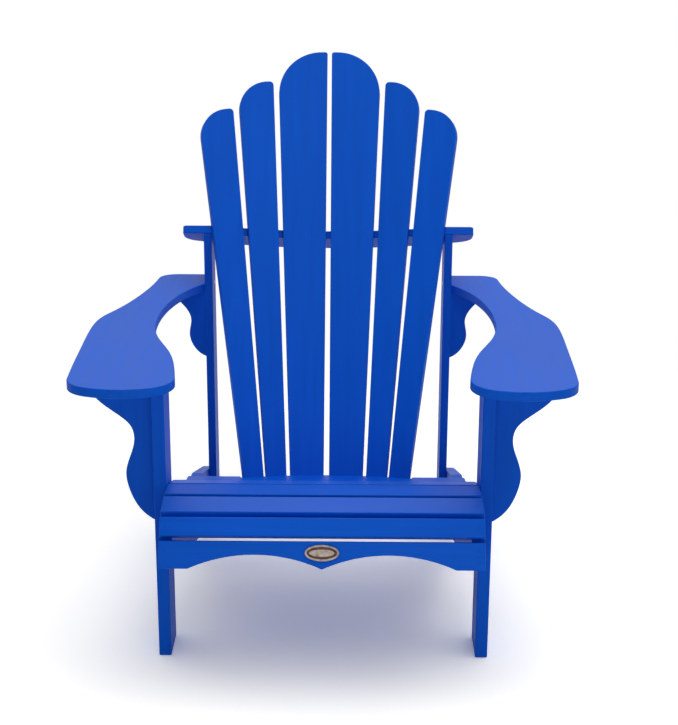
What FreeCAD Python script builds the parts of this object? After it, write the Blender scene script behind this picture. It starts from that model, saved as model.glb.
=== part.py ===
import FreeCAD, Part

# Adirondack chair with a hollow, fanned back of six tapered slats.
#
# Millimetres. X runs across the chair, Y from the front of the seat to the back, and Z up.
# The chair is built with y = 0 on the front faces of the front legs and z = 0 on the floor.
# At the end every piece is shifted along Y, so that the origin lies on the floor in the
# middle of the chair's footprint.

import math
import os

from FreeCAD import Vector

# Boards
leg_thickness = 22.0
side_rail_thickness = 22.0
slat_thickness = 16.0
arm_thickness = 16.0
post_thickness = 16.0
rail_thickness = 16.0
apron_thickness = 16.0
bracket_thickness = 16.0
edge_radius = 1.8
tolerance = 0.01

# Seat
seat_width = 546.0
slat_end_clearance = 0.5
nose_y = -112.0
nose_z = 277.0
seat_slat_widths = [33.0, 46.0, 62.3, 62.3, 62.3, 62.3, 62.3, 62.3]
seat_slat_slopes = [53.0, 12.5, -6.0, -16.5, -23.6, -24.6, -20.0, -11.0]
seat_slat_gap = 4.0
nose_slat_overhang = 4.0

# Front legs
leg_depth = 80.0

# Side rails, from the apron to the rear feet
rail_slope = 18.3
rail_front_height = 42.0
tail_flat = 78.0
tail_flat_slope = -6.0
tail_slope = -17.6
tail_behind_post = 27.0

# Apron, square to the side rails' lower edge
apron_height = 46.0
apron_drop = 1.6
apron_end_flat = 49.0
apron_arch_rise = 24.0

# Back
recline = 26.0
seat_to_back = 16.0
back_clearance = 0.5
back_foot_half_width = 162.5
slat_post_clearance = 6.0
slat_below_seat = 50.0
foot_curve_radius = 480.0
head_curve_radius = 640.0
foot_gaps = [5.1, 6.8, 4.8]
head_gaps = [4.6, 9.2, 10.1]
foot_shares = [0.4561, 0.2757, 0.2682]
head_shares = [0.4213, 0.2911, 0.2876]
slat_lengths = [874.0, 807.0, 745.0]
slat_outer_radii = [90.0, 62.0, 60.0]
slat_inner_radii = [5.0, 8.0, 8.0]
slat_top_falls = [0.0, 0.0, 6.0]
slat_names = ["centre", "middle", "outer"]

# Rails of the back
rail_above_arm = 93.4
upper_rail_overhang = 42.0
upper_rail_width = 84.0
upper_rail_curve_inset = 3.0
upper_rail_front_radius = 9.0
upper_rail_rear_radius = 42.0
lower_rail_level = -46.0
lower_rail_width = 60.0
lower_rail_curve_outset = 9.5
slat_seat_depth = 1.5
slat_seat_clearance = 1.2

# Rear posts
post_depth = 72.0
post_foot_z = 25.0

# Arms
arm_top_z = 554.0
arm_front_reach = 155.0
arm_behind_post = 12.7
arm_width = 177.0
arm_front_bow = 31.0
arm_front_radius = 54.0
arm_inner_radius = 58.0
arm_rear_radius = 36.0
# Points of the arm's edges: share of its width outwards, and share of its length from the front.
arm_outer_front = (0.932, 0.0)
arm_inner_front = (-0.074, 0.0)
arm_front_crown = (0.42, 0.0)
arm_outer_curve = [
    (0.60, 0.87), (0.69, 0.76), (0.86, 0.625), (0.952, 0.566), (1.0, 0.465), (0.987, 0.33), (0.963, 0.17)]
arm_inner_curve = [
    (-0.03, 0.13), (0.095, 0.278), (0.285, 0.41), (0.355, 0.565), (0.29, 0.72), (0.145, 0.83)]
arm_rear_share = 0.55

# Brackets under the arms
front_bracket_setback = 12.0
front_bracket_drop = 279.0
front_bracket_width = 106.0
rear_bracket_setback = 3.0
rear_bracket_drop = 138.0
rear_bracket_width = 60.0
# Points of the scrolls from the foot upwards: share of the bracket's width, and share of its drop.
front_bracket_curve = [
    (0.188, 0.947), (0.414, 0.788), (0.454, 0.674), (0.305, 0.466), (0.337, 0.387), (0.55, 0.302),
    (0.88, 0.202)]
rear_bracket_curve = [(0.31, 0.906), (0.552, 0.638), (0.493, 0.42), (0.72, 0.225), (0.95, 0.10)]

# Oval badge
badge_half_width = 28.5
badge_half_height = 13.5
badge_thickness = 3.0
badge_rim = 3.0
badge_boss_inset = 7.5
badge_recess = 1.0
badge_pin_radius = 1.5
badge_pin_length = 9.0
badge_pin_offset = 17.0
badge_level = 28.0

# Screws and their flush plugs
# Pairs for a leg: distance behind its front face, and drop below the nose of the seat.
leg_screw_places = [(18.0, 22.0), (18.0, 72.0), (62.0, 32.0), (62.0, 82.0)]
# Pairs for a post: distance behind its front face, and height above its foot.
post_screw_places = [(17.0, 95.0), (56.0, 80.0), (17.0, 30.0), (56.0, 25.0)]
arm_screw_places = [40.0, 66.0]
arm_side_screw_place = 48.0
upper_rail_screw_places = [38.0, 62.0]
lower_rail_screw_places = [12.0, 52.0]
apron_screw_shares = [0.3, 0.72]
front_bracket_screw_shares = [0.12, 0.42, 0.75]
rear_bracket_screw_shares = [0.4, 0.78]
narrow_slat_screw_shares = [0.5]
wide_slat_screw_shares = [0.25, 0.75]
wide_slat_width = 50.0
board_end_share = 0.8
screw_radius = 2.2
head_radius = 4.0
head_height = 2.8
plug_radius = 4.75
plug_depth = 5.0
hole_clearance = 0.05
tip_clearance = 1.0
grip = 28.0
bracket_grip = 18.0

# Values that follow
seat_half = seat_width / 2
rail_inner = seat_half - side_rail_thickness
leg_outer = seat_half + leg_thickness
post_inner = rail_inner - post_thickness
arm_under_z = arm_top_z - arm_thickness
slat_half_length = seat_half - slat_end_clearance

X_AXIS = Vector(1, 0, 0)
Y_AXIS = Vector(0, 1, 0)
Z_AXIS = Vector(0, 0, 1)
ORIGIN = Vector(0, 0, 0)

parts = {}
cutters = {}


def rad(degrees):
    return math.radians(degrees)


def mirrored(shape):
    return shape.mirror(ORIGIN, X_AXIS)


def eased(solid, radius=edge_radius):
    """Round every edge of a board a little, as machined lumber has it."""
    return solid.makeFillet(radius, solid.Edges)


def prism(wire, vector):
    """Extrude a closed flat wire into a board."""
    return Part.Face(wire).extrude(vector)


def polygon(points):
    return Part.makePolygon(points + [points[0]])


def spline(points):
    """Smooth curve through a few points."""
    curve = Part.BSplineCurve()
    curve.interpolate(points)
    return curve.toShape()


def line(start, end):
    return Part.LineSegment(start, end).toShape()


def framed(shape, origin, across, along, normal):
    """Carry a shape drawn in local X, Y, Z onto the three given directions at origin."""
    matrix = FreeCAD.Matrix(
        across.x, along.x, normal.x, origin.x,
        across.y, along.y, normal.y, origin.y,
        across.z, along.z, normal.z, origin.z,
        0, 0, 0, 1)
    shape.Placement = FreeCAD.Placement(matrix)
    return shape


# ---- Seat line: where each seat slat lies on the side rails

def seat_line():
    """Corners of the side rails' top edge, one flat for each seat slat, from the nose to the back.

    The nose slat reaches a little past its flat, so that the seat behind it lies lower.
    """
    corners = [Vector(0, nose_y, nose_z)]
    for width, slope in zip(seat_slat_widths, seat_slat_slopes):
        step = width + seat_slat_gap
        if len(corners) == 1:
            step -= nose_slat_overhang
        corners.append(corners[-1] + Vector(0, step * math.cos(rad(slope)), step * math.sin(rad(slope))))
    return corners


seat_corners = seat_line()
seat_end = seat_corners[-1]
apron_up = Vector(0, math.sin(rad(rail_slope)), math.cos(rad(rail_slope)))
apron_in = Vector(0, math.cos(rad(rail_slope)), -math.sin(rad(rail_slope)))


# ---- Frame of the back: up the slats, and square to them

back_up = Vector(0, math.sin(rad(recline)), math.cos(rad(recline)))
back_out = Vector(0, math.cos(rad(recline)), -math.sin(rad(recline)))
back_foot = Vector(
    0,
    seat_end.y + seat_to_back,
    seat_end.z + slat_thickness + (seat_to_back - slat_thickness) * math.tan(rad(seat_slat_slopes[-1])))


upper_rail_level = (arm_top_z + rail_above_arm - back_foot.z) / back_up.z
upper_rail_half_length = rail_inner + upper_rail_overhang
upper_rail_curve_half = post_inner - upper_rail_curve_inset
lower_rail_curve_half = back_foot_half_width + lower_rail_curve_outset


def back_point(x, level, out):
    """Point at x across, level up the slats and out behind the front face of the middle of the back."""
    return Vector(x, 0, 0) + back_foot + back_up * level + back_out * out


def sagitta(radius, half_chord):
    return radius - math.sqrt(radius ** 2 - half_chord ** 2)


head_half_width = post_inner - slat_post_clearance
rail_end_out = slat_thickness - sagitta(head_curve_radius, upper_rail_curve_half)
post_front_y = back_point(0, upper_rail_level, rail_end_out).y
post_back_y = post_front_y + post_depth


def slat_edges(half_width, gaps, shares):
    """Inner and outer edge of each of three slats, from the middle of the back to its side."""
    wood = half_width - sum(gaps)
    edges = []
    x = 0.0
    for gap, share in zip(gaps, shares):
        inner = x + gap
        x = inner + wood * share
        edges.append((inner, x))
    return edges


foot_edges = slat_edges(back_foot_half_width, foot_gaps, foot_shares)
head_edges = slat_edges(head_half_width, head_gaps, head_shares)


def slat_frame(index):
    """Origin, directions and half widths of one back slat on the right of the chair.

    The slat is a flat board that touches the curve of the back at its foot and at the upper rail.
    """
    foot_mid = sum(foot_edges[index]) / 2
    head_mid = sum(head_edges[index]) / 2
    turn = (math.asin(foot_mid / foot_curve_radius) + math.asin(head_mid / head_curve_radius)) / 2
    foot = back_point(foot_mid, 0, -sagitta(foot_curve_radius, foot_mid))
    head = back_point(head_mid, upper_rail_level, -sagitta(head_curve_radius, head_mid))
    along = (head - foot).normalize()
    tangent = X_AXIS * math.cos(turn) - back_out * math.sin(turn)
    across = (tangent - along * tangent.dot(along)).normalize()
    normal = across.cross(along)
    foot_half = (foot_edges[index][1] - foot_edges[index][0]) / 2 / math.cos(turn)
    head_half = (head_edges[index][1] - head_edges[index][0]) / 2 / math.cos(turn)
    return foot, across, along, normal, foot_half, (head_half - foot_half) / (head - foot).Length


def slat_outline(index, bottom, top, grow=0.0, fall=0.0):
    """Tapered outline of a back slat in its own plane; its top can fall towards its outer edge."""
    foot, across, along, normal, half, spread = slat_frame(index)
    low = half + spread * bottom + grow
    high = half + spread * top + grow
    return polygon([
        Vector(-low, bottom, 0),
        Vector(low, bottom, 0),
        Vector(high, top - fall, 0),
        Vector(-high, top, 0)])


def round_top(blank, length, x_sign, radius):
    """Round one top corner of an upright slat blank, drawn in its local plane."""
    corner = [
        edge for edge in blank.Edges
        if edge.CenterOfMass.y > length / 2
        and edge.CenterOfMass.x * x_sign > 0
        and abs(edge.Vertexes[0].Z - edge.Vertexes[1].Z) > slat_thickness / 2]
    return blank.makeFillet(radius, corner)


def back_slat(index):
    """One back slat with its big rounded outer corner and small inner corner."""
    foot, across, along, normal, half, spread = slat_frame(index)
    length = slat_lengths[index]
    outline = slat_outline(index, -slat_below_seat, length, 0.0, slat_top_falls[index])
    blank = prism(outline, Vector(0, 0, -slat_thickness))
    blank = round_top(blank, length, -1, slat_inner_radii[index])
    blank = round_top(blank, length, 1, slat_outer_radii[index])
    return framed(eased(blank), foot, across, along, normal)


def slat_clearance(index, front, depth, grow):
    """Block along a back slat's height: it starts front ahead of its face and runs back by depth."""
    foot, across, along, normal, half, spread = slat_frame(index)
    outline = slat_outline(index, -2 * slat_below_seat, slat_lengths[index], grow)
    block = prism(outline, Vector(0, 0, -depth))
    block.translate(Vector(0, 0, front))
    return framed(block, foot, across, along, normal)


# ---- Screws

def cylinder(point, direction, start, length, radius):
    return Part.makeCylinder(radius, length, point + direction * start, direction)


def add_screw(group, point, direction, length, boards, plugged=True):
    """Put a screw into a group, its flush plug into the group's plugs, and note its hole in each board."""
    depth = plug_depth if plugged else 0.0
    head = cylinder(point, direction, depth, head_height, head_radius)
    shank = cylinder(point, direction, depth + head_height, length - depth - head_height, screw_radius)
    seat = cylinder(point, direction, 0, depth + head_height, plug_radius + hole_clearance)
    bore = cylinder(point, direction, 0, length + tip_clearance, screw_radius + hole_clearance)
    parts.setdefault(group + "_screws", []).append(head.fuse(shank).removeSplitter())
    if plugged:
        parts.setdefault(group + "_plugs", []).append(cylinder(point, direction, 0, depth, plug_radius))
    for board in boards:
        cutters.setdefault(board, []).extend([seat, bore])


def add_screw_pair(group, point, direction, length, boards, plugged=True):
    """The same screw on both sides of the chair; boards of the right side end in _right."""
    add_screw(group, point, direction, length, boards, plugged)
    other_point = Vector(-point.x, point.y, point.z)
    other_direction = Vector(-direction.x, direction.y, direction.z)
    other_boards = [board.replace("_right", "_left") for board in boards]
    add_screw(group, other_point, other_direction, length, other_boards, plugged)


# ---- Legs, side rails and apron

def front_leg():
    leg = Part.makeBox(leg_thickness, leg_depth, arm_under_z, Vector(seat_half, 0, 0))
    return eased(leg)


def side_rail_points():
    """Outline of a side rail: the seat line, the tail, the rear foot and the straight lower edge."""
    front_low = seat_corners[0] - apron_up * rail_front_height
    bend = seat_end + Vector(0, tail_flat, tail_flat * math.tan(rad(tail_flat_slope)))
    end_y = post_back_y + tail_behind_post
    end_top = Vector(0, end_y, bend.z + (end_y - bend.y) * math.tan(rad(tail_slope)))
    foot_back = Vector(0, end_y - end_top.z * math.tan(rad(tail_slope)), 0)
    foot_front = Vector(0, front_low.y + front_low.z / math.tan(rad(rail_slope)), 0)
    return [front_low] + seat_corners + [bend, end_top, foot_back, foot_front]


def side_rail():
    points = [point + X_AXIS * rail_inner for point in side_rail_points()]
    return prism(polygon(points), X_AXIS * side_rail_thickness)


def apron_point(x, up, out=0.0):
    """Point x across and up from the apron's lower edge, out in front of its front face."""
    low = seat_corners[0] - apron_up * (apron_drop + apron_height) - apron_in * apron_thickness
    return low + X_AXIS * x + apron_up * up - apron_in * out


def apron():
    """Front board: flat ends, and two arches that meet in a point in the middle."""
    end = slat_half_length
    arch_end = seat_half - apron_end_flat

    def arch(x_from, x_to):
        top = apron_point((x_from + x_to) / 2, apron_arch_rise)
        return Part.Arc(apron_point(x_from, 0), top, apron_point(x_to, 0)).toShape()

    wire = Part.Wire([
        line(apron_point(-end, apron_height), apron_point(end, apron_height)),
        line(apron_point(end, apron_height), apron_point(end, 0)),
        line(apron_point(end, 0), apron_point(arch_end, 0)),
        arch(arch_end, 0),
        arch(0, -arch_end),
        line(apron_point(-arch_end, 0), apron_point(-end, 0)),
        line(apron_point(-end, 0), apron_point(-end, apron_height))])
    return eased(prism(wire, apron_in * apron_thickness))


# ---- Seat slats

def seat_slat_blank(index, extra=0.0):
    """A straight seat slat lying on its flat of the side rails, with extra width at its rear edge."""
    width = seat_slat_widths[index] + extra
    blank = Part.makeBox(
        2 * slat_half_length, width, slat_thickness, Vector(-slat_half_length, seat_slat_gap / 2, 0))
    blank = eased(blank)
    blank.rotate(ORIGIN, X_AXIS, seat_slat_slopes[index])
    blank.translate(seat_corners[index])
    return blank


def last_seat_slat():
    """The last seat slat: its rear edge is scribed to the hollow back and stands back at both ends."""
    last = len(seat_slat_widths) - 1
    blank = seat_slat_blank(last, seat_to_back + 2 * back_clearance)
    tall = 6 * slat_thickness
    for side in (-1, 1):
        corner = Vector(0, seat_end.y - seat_slat_gap / 2, seat_end.z - tall / 2)
        ear = Part.makeBox(seat_half, tall, tall, corner)
        ear.translate(X_AXIS * (foot_edges[-1][1] + seat_slat_gap))
        blank = blank.cut(ear if side > 0 else mirrored(ear))
    for index in range(len(slat_names)):
        hollow = slat_clearance(index, back_clearance, tall, foot_gaps[0])
        blank = blank.cut([hollow, mirrored(hollow)])
    return blank


# ---- Rails of the back

def rail_wire(level, half_length, curve_half, radius, width, bowed_rear):
    """Outline of a back rail in the plane square to the slats: a hollow front edge with straight ends."""
    crown = slat_thickness - slat_seat_depth
    end_out = slat_thickness - sagitta(radius, curve_half)

    def at(x, out):
        return back_point(x, level, out)

    edges = [
        line(at(-half_length, end_out), at(-curve_half, end_out)),
        Part.Arc(at(-curve_half, end_out), at(0, crown), at(curve_half, end_out)).toShape(),
        line(at(curve_half, end_out), at(half_length, end_out))]
    if bowed_rear:
        rear_end = end_out + width - sagitta(radius, half_length) + sagitta(radius, curve_half)
        rear = Part.Arc(
            at(half_length, rear_end), at(0, slat_thickness + width), at(-half_length, rear_end)).toShape()
    else:
        rear_end = slat_thickness + width
        rear = line(at(half_length, rear_end), at(-half_length, rear_end))
    edges.append(line(at(half_length, end_out), at(half_length, rear_end)))
    edges.append(rear)
    edges.append(line(at(-half_length, rear_end), at(-half_length, end_out)))
    return Part.Wire(edges)


def flattened_for_slats(rail):
    """Cut the shallow flats where the back slats lie on a rail."""
    for index in range(len(slat_names)):
        flat = slat_clearance(index, 0, slat_thickness, slat_seat_clearance)
        rail = rail.cut([flat, mirrored(flat)])
    return rail


def rail_end_corners(rail, in_front):
    """Upright edges at both ends of the upper rail: the two in front or the two behind."""
    corners = []
    for edge in rail.Edges:
        rise = (edge.Vertexes[-1].Point - edge.Vertexes[0].Point).dot(back_up)
        out = (edge.CenterOfMass - back_foot).dot(back_out)
        at_end = abs(abs(edge.CenterOfMass.x) - upper_rail_half_length) < tolerance
        if at_end and abs(rise) > rail_thickness / 2 and (out < rail_end_out + tolerance) == in_front:
            corners.append(edge)
    return corners


def upper_back_rail():
    """The upper rail with small front corners and large rear corners."""
    wire = rail_wire(
        upper_rail_level, upper_rail_half_length, upper_rail_curve_half, head_curve_radius,
        upper_rail_width, True)
    rail = prism(wire, back_up * rail_thickness)
    rail = rail.makeFillet(upper_rail_rear_radius, rail_end_corners(rail, False))
    rail = rail.makeFillet(upper_rail_front_radius, rail_end_corners(rail, True))
    return flattened_for_slats(eased(rail))


def lower_back_rail():
    wire = rail_wire(
        lower_rail_level, rail_inner, lower_rail_curve_half, foot_curve_radius, lower_rail_width, False)
    return flattened_for_slats(prism(wire, back_up * rail_thickness))


# ---- Rear posts

def rear_post():
    """Upright beside the side rail; its top is cut to the slope of the upper rail."""
    top_front = back_point(0, upper_rail_level, rail_end_out)
    top_back_z = top_front.z - post_depth * math.tan(rad(recline))
    points = [
        Vector(post_inner, post_front_y, post_foot_z),
        Vector(post_inner, post_back_y, post_foot_z),
        Vector(post_inner, post_back_y, top_back_z),
        Vector(post_inner, post_front_y, top_front.z)]
    return eased(prism(polygon(points), X_AXIS * post_thickness))


# ---- Arms and brackets

def arm():
    """Paddle arm: a wide front, a shoulder on the outer edge, and a deep hollow on the inner edge."""
    z = arm_under_z
    front_y = -arm_front_reach
    rear_y = post_back_y + arm_behind_post
    length = rear_y - front_y

    def at(place, back=0.0):
        across, along = place
        return Vector(rail_inner + arm_width * across, front_y + length * along + back, z)

    outer_front = at(arm_outer_front, arm_front_bow)
    inner_front = at(arm_inner_front, arm_front_bow)
    at_post = Vector(rail_inner, post_front_y, z)
    rear_inner = Vector(rail_inner, rear_y, z)
    rear_outer = at((arm_rear_share, 1.0))
    outer = spline([rear_outer] + [at(place) for place in arm_outer_curve] + [outer_front])
    inner = spline([inner_front] + [at(place) for place in arm_inner_curve] + [at_post])
    wire = Part.Wire([
        line(rear_inner, rear_outer), outer,
        Part.Arc(outer_front, at(arm_front_crown), inner_front).toShape(), inner,
        line(at_post, rear_inner)])
    board = prism(wire, Z_AXIS * arm_thickness)
    for corner, radius in (
            (outer_front, arm_front_radius), (inner_front, arm_inner_radius), (rear_outer, arm_rear_radius)):
        upright = [
            edge for edge in board.Edges
            if (edge.CenterOfMass - corner - Z_AXIS * arm_thickness / 2).Length < tolerance]
        board = board.makeFillet(radius, upright)
    return eased(board)


def bracket(inner_x, front_y, width, drop, curve):
    """Scrolled bracket under an arm."""
    top = arm_under_z

    def at(across, down):
        return Vector(inner_x + width * across, front_y, top - drop * down)

    foot = at(0, 1)
    tip = at(1, 0)
    scroll = spline([foot] + [at(across, down) for across, down in curve] + [tip])
    wire = Part.Wire([scroll, line(tip, at(0, 0)), line(at(0, 0), foot)])
    return prism(wire, Y_AXIS * bracket_thickness)


def front_bracket():
    return bracket(
        leg_outer, front_bracket_setback, front_bracket_width, front_bracket_drop, front_bracket_curve)


def rear_bracket():
    return bracket(
        rail_inner, post_front_y + rear_bracket_setback, rear_bracket_width, rear_bracket_drop,
        rear_bracket_curve)


# ---- Badge

def oval(half_width, half_height, depth, out):
    """Oval disc lying on the apron, with its front out ahead of the apron's front face."""
    centre = apron_point(0, badge_level, out)
    ellipse = Part.Ellipse(centre + X_AXIS * half_width, centre + apron_up * half_height, centre)
    return prism(Part.Wire([ellipse.toShape()]), apron_in * depth)


def badge():
    """Plain oval medallion with a raised rim and a low oval boss, bare of any mark."""
    disc = oval(badge_half_width, badge_half_height, badge_thickness, badge_thickness)
    field = oval(
        badge_half_width - badge_rim, badge_half_height - badge_rim, badge_recess, badge_thickness)
    boss = oval(
        badge_half_width - badge_boss_inset, badge_half_height - badge_boss_inset, badge_recess,
        badge_thickness)
    return disc.cut(field).fuse(boss).removeSplitter()


def badge_pins():
    pins = []
    for side in (-1, 1):
        start = apron_point(side * badge_pin_offset, badge_level)
        pins.append(cylinder(start, apron_in, 0, badge_pin_length, badge_pin_radius))
        bore = cylinder(
            start, apron_in, 0, badge_pin_length + tip_clearance, badge_pin_radius + hole_clearance)
        cutters.setdefault("apron", []).append(bore)
    return pins


# ---- Screw places

def seat_screws():
    """Screws of the seat: one at each end of a narrow slat, and two at each end of a wide one."""
    x = seat_half - side_rail_thickness / 2
    for index, (width, slope) in enumerate(zip(seat_slat_widths, seat_slat_slopes)):
        run = Vector(0, math.cos(rad(slope)), math.sin(rad(slope)))
        up = Vector(0, -math.sin(rad(slope)), math.cos(rad(slope)))
        shares = narrow_slat_screw_shares if width < wide_slat_width else wide_slat_screw_shares
        for share in shares:
            point = seat_corners[index] + run * (seat_slat_gap / 2 + width * share) + up * slat_thickness
            name = "seat_slat_%d" % (index + 1)
            add_screw_pair(
                "seat_slat", point + X_AXIS * x, up * -1, slat_thickness + grip, [name, "side_rail_right"])


def back_screws():
    """Two screws through each back slat into each rail of the back."""
    for index, name in enumerate(slat_names):
        foot, across, along, normal, half, spread = slat_frame(index)
        for level, rail in (
                (upper_rail_level + rail_thickness / 2, "upper_back_rail"),
                (lower_rail_level + rail_thickness / 2, "lower_back_rail")):
            reach = level / along.dot(back_up)
            offset = (half + spread * reach) / 2
            for side in (-1, 1):
                point = foot + along * reach + across * (offset * side)
                add_screw_pair(
                    "back_slat", point, normal * -1, slat_thickness + grip,
                    ["back_slat_%s_right" % name, rail])


def frame_screws():
    """Screws of the apron, legs, posts and rails."""
    rail_mid = seat_half - side_rail_thickness / 2
    for share in apron_screw_shares:
        point = apron_point(rail_mid, apron_height * share)
        add_screw_pair("apron", point, apron_in, apron_thickness + grip, ["apron", "side_rail_right"])
    for y, drop in leg_screw_places:
        point = Vector(rail_inner, y, nose_z - drop)
        add_screw_pair(
            "leg", point, X_AXIS, side_rail_thickness + leg_thickness * board_end_share,
            ["side_rail_right", "front_leg_right"], False)
    for y, rise in post_screw_places:
        point = Vector(post_inner, post_front_y + y, post_foot_z + rise)
        add_screw_pair(
            "post", point, X_AXIS, post_thickness + side_rail_thickness * board_end_share,
            ["rear_post_right", "side_rail_right"], False)
    for out in upper_rail_screw_places:
        point = back_point(
            post_inner + post_thickness / 2, upper_rail_level + rail_thickness, rail_end_out + out)
        add_screw_pair(
            "upper_rail", point, back_up * -1, rail_thickness + grip,
            ["upper_back_rail", "rear_post_right"], False)
    for out in lower_rail_screw_places:
        point = back_point(seat_half, lower_rail_level + rail_thickness / 2, out)
        add_screw_pair(
            "lower_rail", point, X_AXIS * -1, side_rail_thickness + grip,
            ["side_rail_right", "lower_back_rail"])


def arm_screws():
    """Screws that hold the arms to the legs, posts and brackets, and the brackets to the legs and posts."""
    for y in arm_screw_places:
        point = Vector(seat_half + leg_thickness / 2, y, arm_top_z)
        add_screw_pair("arm", point, Z_AXIS * -1, arm_thickness + grip, ["arm_right", "front_leg_right"])
    front_mid = front_bracket_setback + bracket_thickness / 2
    point = Vector(leg_outer + front_bracket_width / 2, front_mid, arm_top_z)
    add_screw_pair("arm", point, Z_AXIS * -1, arm_thickness + grip, ["arm_right", "front_bracket_right"])
    for share in front_bracket_screw_shares:
        point = Vector(seat_half, front_mid, arm_under_z - front_bracket_drop * share)
        add_screw_pair(
            "bracket", point, X_AXIS, leg_thickness + bracket_grip,
            ["front_leg_right", "front_bracket_right"])
    rear_mid = post_front_y + rear_bracket_setback + bracket_thickness / 2
    point = Vector(rail_inner + rear_bracket_width / 2, rear_mid, arm_top_z)
    add_screw_pair("arm", point, Z_AXIS * -1, arm_thickness + grip, ["arm_right", "rear_bracket_right"])
    for share in rear_bracket_screw_shares:
        point = Vector(post_inner, rear_mid, arm_under_z - rear_bracket_drop * share)
        add_screw_pair(
            "bracket", point, X_AXIS, post_thickness + bracket_grip,
            ["rear_post_right", "rear_bracket_right"])
    point = Vector(post_inner, post_front_y + arm_side_screw_place, arm_under_z + arm_thickness / 2)
    add_screw_pair(
        "arm_side", point, X_AXIS, post_thickness + grip, ["rear_post_right", "arm_right"], False)


# ---- Assembly

def add_pair(name, shape):
    parts[name + "_right"] = shape
    parts[name + "_left"] = mirrored(shape)


def build():
    add_pair("front_leg", front_leg())
    add_pair("side_rail", side_rail())
    parts["apron"] = apron()
    for index in range(len(seat_slat_widths) - 1):
        parts["seat_slat_%d" % (index + 1)] = seat_slat_blank(index)
    parts["seat_slat_%d" % len(seat_slat_widths)] = last_seat_slat()
    parts["lower_back_rail"] = lower_back_rail()
    parts["upper_back_rail"] = upper_back_rail()
    add_pair("rear_post", rear_post())
    for index, name in enumerate(slat_names):
        add_pair("back_slat_" + name, back_slat(index))
    add_pair("arm", arm())
    add_pair("front_bracket", front_bracket())
    add_pair("rear_bracket", rear_bracket())
    parts["badge"] = badge()
    parts["badge_pins"] = badge_pins()
    seat_screws()
    back_screws()
    frame_screws()
    arm_screws()
    for name, tools in cutters.items():
        parts[name] = parts[name].cut(tools)


def write():
    """Shift the origin to the middle of the footprint and write one file for each piece."""
    shapes = {
        name: Part.makeCompound(shape) if isinstance(shape, list) else shape
        for name, shape in parts.items()}
    whole = Part.makeCompound(list(shapes.values())).optimalBoundingBox(False)
    shift = Y_AXIS * (-(whole.YMin + whole.YMax) / 2)
    os.makedirs("parts", exist_ok=True)
    for name, shape in shapes.items():
        shape.translate(shift)
        shape.exportStep(os.path.join("parts", name + ".step"))


build()
write()
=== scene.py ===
import math

import bpy
from mathutils import Matrix, Vector


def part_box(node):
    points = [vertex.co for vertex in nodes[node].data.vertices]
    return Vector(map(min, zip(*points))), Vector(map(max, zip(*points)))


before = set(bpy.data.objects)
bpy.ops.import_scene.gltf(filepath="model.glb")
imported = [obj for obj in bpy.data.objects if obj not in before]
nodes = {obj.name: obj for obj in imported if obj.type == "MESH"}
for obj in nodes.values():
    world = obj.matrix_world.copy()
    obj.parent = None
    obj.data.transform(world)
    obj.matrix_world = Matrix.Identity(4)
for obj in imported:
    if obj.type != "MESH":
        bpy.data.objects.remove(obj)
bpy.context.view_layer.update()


# ---- Materials

def new_material(name):
    material = bpy.data.materials.new(name)
    material.use_nodes = True
    tree = material.node_tree
    return material, tree, tree.nodes["Principled BSDF"]


def link(tree, a, out, b, into):
    tree.links.new(a.outputs[out], b.inputs[into])


def ramp(tree, source, stops):
    """Colour ramp over a factor; stops are (position, grey or colour)."""
    node = tree.nodes.new("ShaderNodeValToRGB")
    node.color_ramp.elements[0].position = stops[0][0]
    node.color_ramp.elements[-1].position = stops[-1][0]
    for _ in stops[1:-1]:
        node.color_ramp.elements.new(0.5)
    for element, (position, value) in zip(node.color_ramp.elements, stops):
        element.position = position
        grey = value if isinstance(value, tuple) else (value, value, value)
        element.color = (*grey, 1.0)
    tree.links.new(source, node.inputs["Fac"])
    return node


def noise(tree, vector, scale, detail=3.0, rough=0.5):
    node = tree.nodes.new("ShaderNodeTexNoise")
    node.inputs["Scale"].default_value = scale
    node.inputs["Detail"].default_value = detail
    node.inputs["Roughness"].default_value = rough
    tree.links.new(vector, node.inputs["Vector"])
    return node


def bump(tree, source, strength, distance):
    """Bump whose height is the source's factor; the distance is in metres."""
    node = tree.nodes.new("ShaderNodeBump")
    node.inputs["Strength"].default_value = strength
    node.inputs["Distance"].default_value = distance
    link(tree, source, "Fac", node, "Height")
    return node


# The streaks are noise stretched along the board, with a cloudier noise mixed in.
STREAK_STRETCH = (1.6, 26.0, 26.0)
CLOUD_SHARE = 0.45
PEBBLE_SCALE = 900.0
LUMBER_ROUGH_LOW = 0.42
LUMBER_ROUGH_HIGH = 0.50
LUMBER_SPECULAR = 0.06


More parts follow.
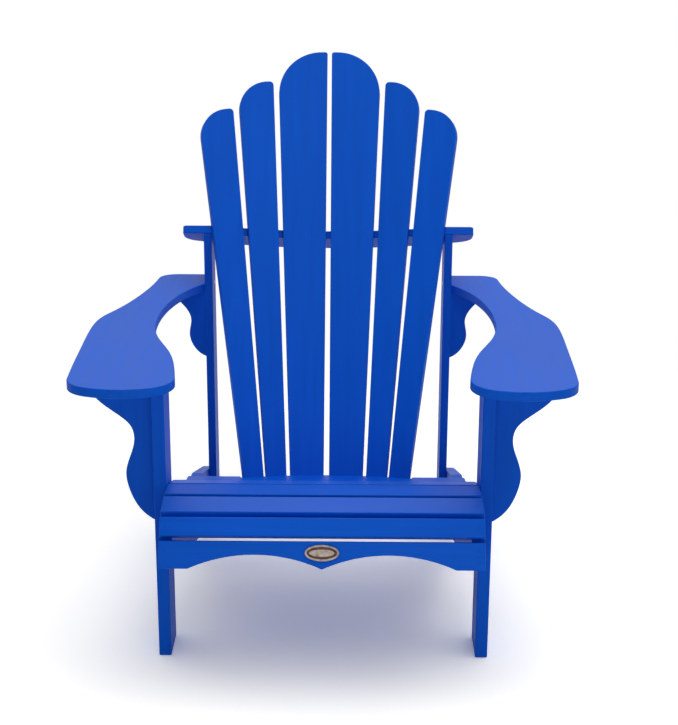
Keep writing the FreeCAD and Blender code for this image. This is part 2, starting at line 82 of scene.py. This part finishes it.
def lumber(name, along, base, seed):
    """Satin plastic lumber: faint streaks along the board and a fine pebble in the skin."""
    material, tree, shader = new_material(name)
    place = tree.nodes.new("ShaderNodeTexCoord")
    turn = tree.nodes.new("ShaderNodeMapping")
    turn.vector_type = "TEXTURE"
    turn.inputs["Rotation"].default_value = Vector(along).to_track_quat("X", "Z").to_euler()
    turn.inputs["Location"].default_value = (seed * 0.37, seed * 0.21, seed * 0.13)
    link(tree, place, "Object", turn, "Vector")
    stretch = tree.nodes.new("ShaderNodeMapping")
    stretch.inputs["Scale"].default_value = STREAK_STRETCH
    link(tree, turn, "Vector", stretch, "Vector")

    streak = noise(tree, stretch.outputs["Vector"], 3.0, 5.0, 0.55)
    cloud = noise(tree, turn.outputs["Vector"], 2.3, 2.0)
    pebble = noise(tree, turn.outputs["Vector"], PEBBLE_SCALE, 2.0)
    blend = tree.nodes.new("ShaderNodeMix")
    blend.inputs["Factor"].default_value = CLOUD_SHARE
    link(tree, streak, "Fac", blend, "A")
    link(tree, cloud, "Fac", blend, "B")
    dark = tuple(c * 0.90 for c in base)
    pale = tuple(min(1.0, c * 1.09 + 0.0015) for c in base)
    colour = ramp(tree, blend.outputs["Result"], [(0.32, dark), (0.5, base), (0.68, pale)])
    link(tree, colour, "Color", shader, "Base Color")

    rough = ramp(tree, streak.outputs["Fac"], [(0.3, LUMBER_ROUGH_LOW), (0.7, LUMBER_ROUGH_HIGH)])
    link(tree, rough, "Color", shader, "Roughness")
    grain = bump(tree, streak, 0.10, 0.0008)
    skin = bump(tree, pebble, 0.10, 0.0002)
    link(tree, grain, "Normal", skin, "Normal")
    link(tree, skin, "Normal", shader, "Normal")
    shader.inputs["Specular IOR Level"].default_value = LUMBER_SPECULAR
    return material


def seen_ray(tree):
    """1 for a ray that shows its source to the eye: straight, mirrored or through glass."""
    path = tree.nodes.new("ShaderNodeLightPath")
    mirrored = tree.nodes.new("ShaderNodeMath")
    mirrored.operation = "MAXIMUM"
    link(tree, path, "Is Camera Ray", mirrored, 0)
    link(tree, path, "Is Glossy Ray", mirrored, 1)
    seen = tree.nodes.new("ShaderNodeMath")
    seen.operation = "MAXIMUM"
    link(tree, mirrored, "Value", seen, 0)
    link(tree, path, "Is Transmission Ray", seen, 1)
    return seen


def metal(name, base, rough_low, rough_high, scale):
    """Metal with a cloudy tarnish, fine scratches and an uneven sheen."""
    material, tree, shader = new_material(name)
    place = tree.nodes.new("ShaderNodeTexCoord")
    cloud = noise(tree, place.outputs["Object"], scale, 4.0)
    fine = noise(tree, place.outputs["Object"], scale * 9.0, 3.0)
    dark = tuple(c * 0.62 for c in base)
    pale = tuple(min(1.0, c * 1.2) for c in base)
    colour = ramp(tree, cloud.outputs["Fac"], [(0.3, dark), (0.52, base), (0.7, pale)])
    link(tree, colour, "Color", shader, "Base Color")
    rough = ramp(tree, fine.outputs["Fac"], [(0.3, rough_low), (0.7, rough_high)])
    link(tree, rough, "Color", shader, "Roughness")
    scratches = bump(tree, fine, 0.25, 0.0003)
    link(tree, scratches, "Normal", shader, "Normal")
    shader.inputs["Metallic"].default_value = 1.0
    return material


# Depths under the medallion's foremost point, in metres: all patina, and all rubbed.
PATINA_DEPTH = 0.0009
RUBBED_DEPTH = 0.0002


def medallion(name, piece, outward):
    """Antique pewter: a dark patina in the sunk ring, and rubbed metal on the rim and the boss."""
    material, tree, shader = new_material(name)
    front = max(outward.dot(vertex.co) for vertex in piece.data.vertices)
    place = tree.nodes.new("ShaderNodeTexCoord")
    height = tree.nodes.new("ShaderNodeVectorMath")
    height.operation = "DOT_PRODUCT"
    height.inputs[1].default_value = outward
    link(tree, place, "Object", height, 0)
    raised = tree.nodes.new("ShaderNodeMapRange")
    raised.inputs["From Min"].default_value = front - PATINA_DEPTH
    raised.inputs["From Max"].default_value = front - RUBBED_DEPTH
    link(tree, height, "Value", raised, "Value")
    cloud = noise(tree, place.outputs["Object"], 130.0, 3.0)
    patina = ramp(tree, cloud.outputs["Fac"], [
        (0.3, (0.022, 0.015, 0.012)), (0.7, (0.060, 0.043, 0.034))])
    rubbed = ramp(tree, cloud.outputs["Fac"], [
        (0.3, (0.125, 0.096, 0.085)), (0.7, (0.245, 0.207, 0.185))])
    colour = tree.nodes.new("ShaderNodeMix")
    colour.data_type = "RGBA"
    link(tree, raised, "Result", colour, "Factor")
    link(tree, patina, "Color", colour, "A")
    link(tree, rubbed, "Color", colour, "B")
    link(tree, colour, "Result", shader, "Base Color")
    stretch = tree.nodes.new("ShaderNodeMapping")
    stretch.inputs["Scale"].default_value = (40.0, 40.0, 900.0)
    link(tree, place, "Object", stretch, "Vector")
    brushed = noise(tree, stretch.outputs["Vector"], 4.0, 3.0)
    rough = ramp(tree, brushed.outputs["Fac"], [(0.3, 0.26), (0.7, 0.42)])
    link(tree, rough, "Color", shader, "Roughness")
    scratches = bump(tree, brushed, 0.2, 0.0002)
    link(tree, scratches, "Normal", shader, "Normal")
    shader.inputs["Metallic"].default_value = 1.0
    return material


BLUE = (0.002, 0.095, 0.60)
APRON_LEAN = math.radians(18.3)
APRON_OUTWARD = Vector((0.0, -math.cos(APRON_LEAN), math.sin(APRON_LEAN)))
X_GRAIN = (1, 0, 0)
Y_GRAIN = (0, 1, 0)
Z_GRAIN = (0, 0, 1)
BACK_GRAIN = (0, 0.438, 0.899)
steel = metal("stainless", (0.60, 0.60, 0.61), 0.28, 0.45, 60.0)


def grain_of(name):
    if name.startswith("back_slat"):
        return BACK_GRAIN
    if name.startswith(("front_leg", "rear_post", "front_bracket", "rear_bracket")):
        return Z_GRAIN
    if name.startswith(("arm_left", "arm_right", "side_rail")):
        return Y_GRAIN
    return X_GRAIN


def dress(piece, material):
    piece.data.materials.clear()
    piece.data.materials.append(material)


for number, name in enumerate(sorted(nodes)):
    node = nodes[name]
    if name.endswith("_screws") or name == "badge_pins":
        dress(node, steel)
    elif name == "badge":
        dress(node, medallion("pewter", node, APRON_OUTWARD))
    else:
        dress(node, lumber("lumber_" + name, grain_of(name), BLUE, number))


# ---- Smooth shading of the eased edges

LARGEST_FACE_WINS = 100

for name, node in nodes.items():
    for face in node.data.polygons:
        face.use_smooth = True
    normals = node.modifiers.new("clean_normals", "WEIGHTED_NORMAL")
    normals.keep_sharp = True
    normals.weight = LARGEST_FACE_WINS


# ---- Camera

FRAME_LONG_SIDE = 725.0
FOCAL_PIXELS = 1500.0
CAMERA_RIGHT = 0.0411
CAMERA_AHEAD_OF_LEGS = 2.4239
CAMERA_HEIGHT = 1.3015
CAMERA_TURN = math.radians(0.350)
CAMERA_TILT = math.radians(90.0 - 17.138)
CAMERA_ROLL = math.radians(0.245)

leg_low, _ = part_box("front_leg_right")
camera_data = bpy.data.cameras.new("camera")
camera_data.sensor_width = 36.0
camera_data.lens = FOCAL_PIXELS * camera_data.sensor_width / FRAME_LONG_SIDE
camera = bpy.data.objects.new("camera", camera_data)
bpy.context.scene.collection.objects.link(camera)
camera.matrix_world = (
    Matrix.Translation(Vector((CAMERA_RIGHT, leg_low.y - CAMERA_AHEAD_OF_LEGS, CAMERA_HEIGHT)))
    @ Matrix.Rotation(CAMERA_TURN, 4, "Z")
    @ Matrix.Rotation(CAMERA_TILT, 4, "X")
    @ Matrix.Rotation(CAMERA_ROLL, 4, "Z"))
bpy.context.scene.camera = camera


# ---- Floor, backdrop and light

# Rays that show the floor to the eye see it lit by the lamps and mixed with plain white: a share of
# white near the chair, and all white from the fade's end on. Other rays see a plain pale floor.
FLOOR_GAIN = 1.58
FLOOR_GLOW = 0.16
FLOOR_SIZE = 60.0
FLOOR_DROP = 0.0005
FADE_START = 0.9
FADE_END = 2.0
# Strength of the world's light from the front and from the rear of the chair.
WORLD_FRONT = 0.10
WORLD_REAR = 0.80
WORLD_BLEND = 0.7
WHITE = (1.0, 1.0, 1.0, 1.0)


def plane(name, size, location):
    mesh = bpy.data.meshes.new(name)
    half = size / 2
    corners = [(-half, -half, 0), (half, -half, 0), (half, half, 0), (-half, half, 0)]
    mesh.from_pydata(corners, [], [(0, 1, 2, 3)])
    piece = bpy.data.objects.new(name, mesh)
    piece.location = location
    bpy.context.scene.collection.objects.link(piece)
    return piece


floor = plane("floor", FLOOR_SIZE, (0, 0, -FLOOR_DROP))
floor_material, floor_tree, floor_shader = new_material("floor")
floor_shader.inputs["Base Color"].default_value = (0.80, 0.80, 0.80, 1.0)
floor_shader.inputs["Roughness"].default_value = 0.9
floor_shader.inputs["Specular IOR Level"].default_value = 0.0
lit = floor_tree.nodes.new("ShaderNodeBsdfDiffuse")
lit.inputs["Color"].default_value = (FLOOR_GAIN, FLOOR_GAIN * 0.99, FLOOR_GAIN * 0.93, 1.0)
white = floor_tree.nodes.new("ShaderNodeEmission")
white.inputs["Color"].default_value = WHITE
floor_place = floor_tree.nodes.new("ShaderNodeTexCoord")
distance = floor_tree.nodes.new("ShaderNodeVectorMath")
distance.operation = "LENGTH"
link(floor_tree, floor_place, "Object", distance, 0)
fade = floor_tree.nodes.new("ShaderNodeMapRange")
fade.interpolation_type = "SMOOTHSTEP"
fade.inputs["From Min"].default_value = FADE_START
fade.inputs["From Max"].default_value = FADE_END
fade.inputs["To Min"].default_value = FLOOR_GLOW
link(floor_tree, distance, "Value", fade, "Value")
backdrop = floor_tree.nodes.new("ShaderNodeMixShader")
link(floor_tree, fade, "Result", backdrop, "Fac")
floor_tree.links.new(lit.outputs["BSDF"], backdrop.inputs[1])
floor_tree.links.new(white.outputs["Emission"], backdrop.inputs[2])
floor_mix = floor_tree.nodes.new("ShaderNodeMixShader")
link(floor_tree, seen_ray(floor_tree), "Value", floor_mix, "Fac")
floor_tree.links.new(floor_shader.outputs["BSDF"], floor_mix.inputs[1])
floor_tree.links.new(backdrop.outputs["Shader"], floor_mix.inputs[2])
floor_tree.links.new(floor_mix.outputs["Shader"], floor_tree.nodes["Material Output"].inputs["Surface"])
dress(floor, floor_material)

world = bpy.data.worlds.new("studio")
bpy.context.scene.world = world
world.use_nodes = True
tree = world.node_tree
background = tree.nodes["Background"]
direction = tree.nodes.new("ShaderNodeTexCoord")
split = tree.nodes.new("ShaderNodeSeparateXYZ")
link(tree, direction, "Generated", split, "Vector")
rear = tree.nodes.new("ShaderNodeMapRange")
rear.interpolation_type = "SMOOTHSTEP"
rear.inputs["From Min"].default_value = -WORLD_BLEND
rear.inputs["From Max"].default_value = WORLD_BLEND
rear.inputs["To Min"].default_value = WORLD_FRONT
rear.inputs["To Max"].default_value = WORLD_REAR
link(tree, split, "Y", rear, "Value")
link(tree, rear, "Result", background, "Strength")
background.inputs["Color"].default_value = WHITE
seen = tree.nodes.new("ShaderNodeBackground")
seen.inputs["Color"].default_value = WHITE
seen.inputs["Strength"].default_value = 1.0
mix = tree.nodes.new("ShaderNodeMixShader")
link(tree, seen_ray(tree), "Value", mix, "Fac")
tree.links.new(background.outputs["Background"], mix.inputs[1])
tree.links.new(seen.outputs["Background"], mix.inputs[2])
tree.links.new(mix.outputs["Shader"], tree.nodes["World Output"].inputs["Surface"])


def softbox(name, location, target, size_x, size_y, power):
    data = bpy.data.lights.new(name, "AREA")
    data.shape = "RECTANGLE"
    data.size = size_x
    data.size_y = size_y
    data.energy = power
    lamp = bpy.data.objects.new(name, data)
    lamp.location = location
    lamp.rotation_mode = "QUATERNION"
    lamp.rotation_quaternion = (Vector(target) - Vector(location)).to_track_quat("-Z", "Y")
    bpy.context.scene.collection.objects.link(lamp)
    return lamp


# The rear key is behind the chair and shows only in the boards' sheen, not in diffuse light.
softbox("overhead", (0.50, -0.80, 3.1), (0.2, -0.40, 0.0), 3.4, 3.4, 58.0)
rear_key = softbox("rear_key", (0.05, 1.75, 2.75), (0.0, -0.33, 0.31), 2.4, 0.9, 58.0)
rear_key.visible_diffuse = False
softbox("front_fill", (0.4, -2.7, 0.7), (0.0, -0.3, 0.1), 2.6, 0.8, 12.0)

bpy.context.scene.view_settings.view_transform = "Standard"
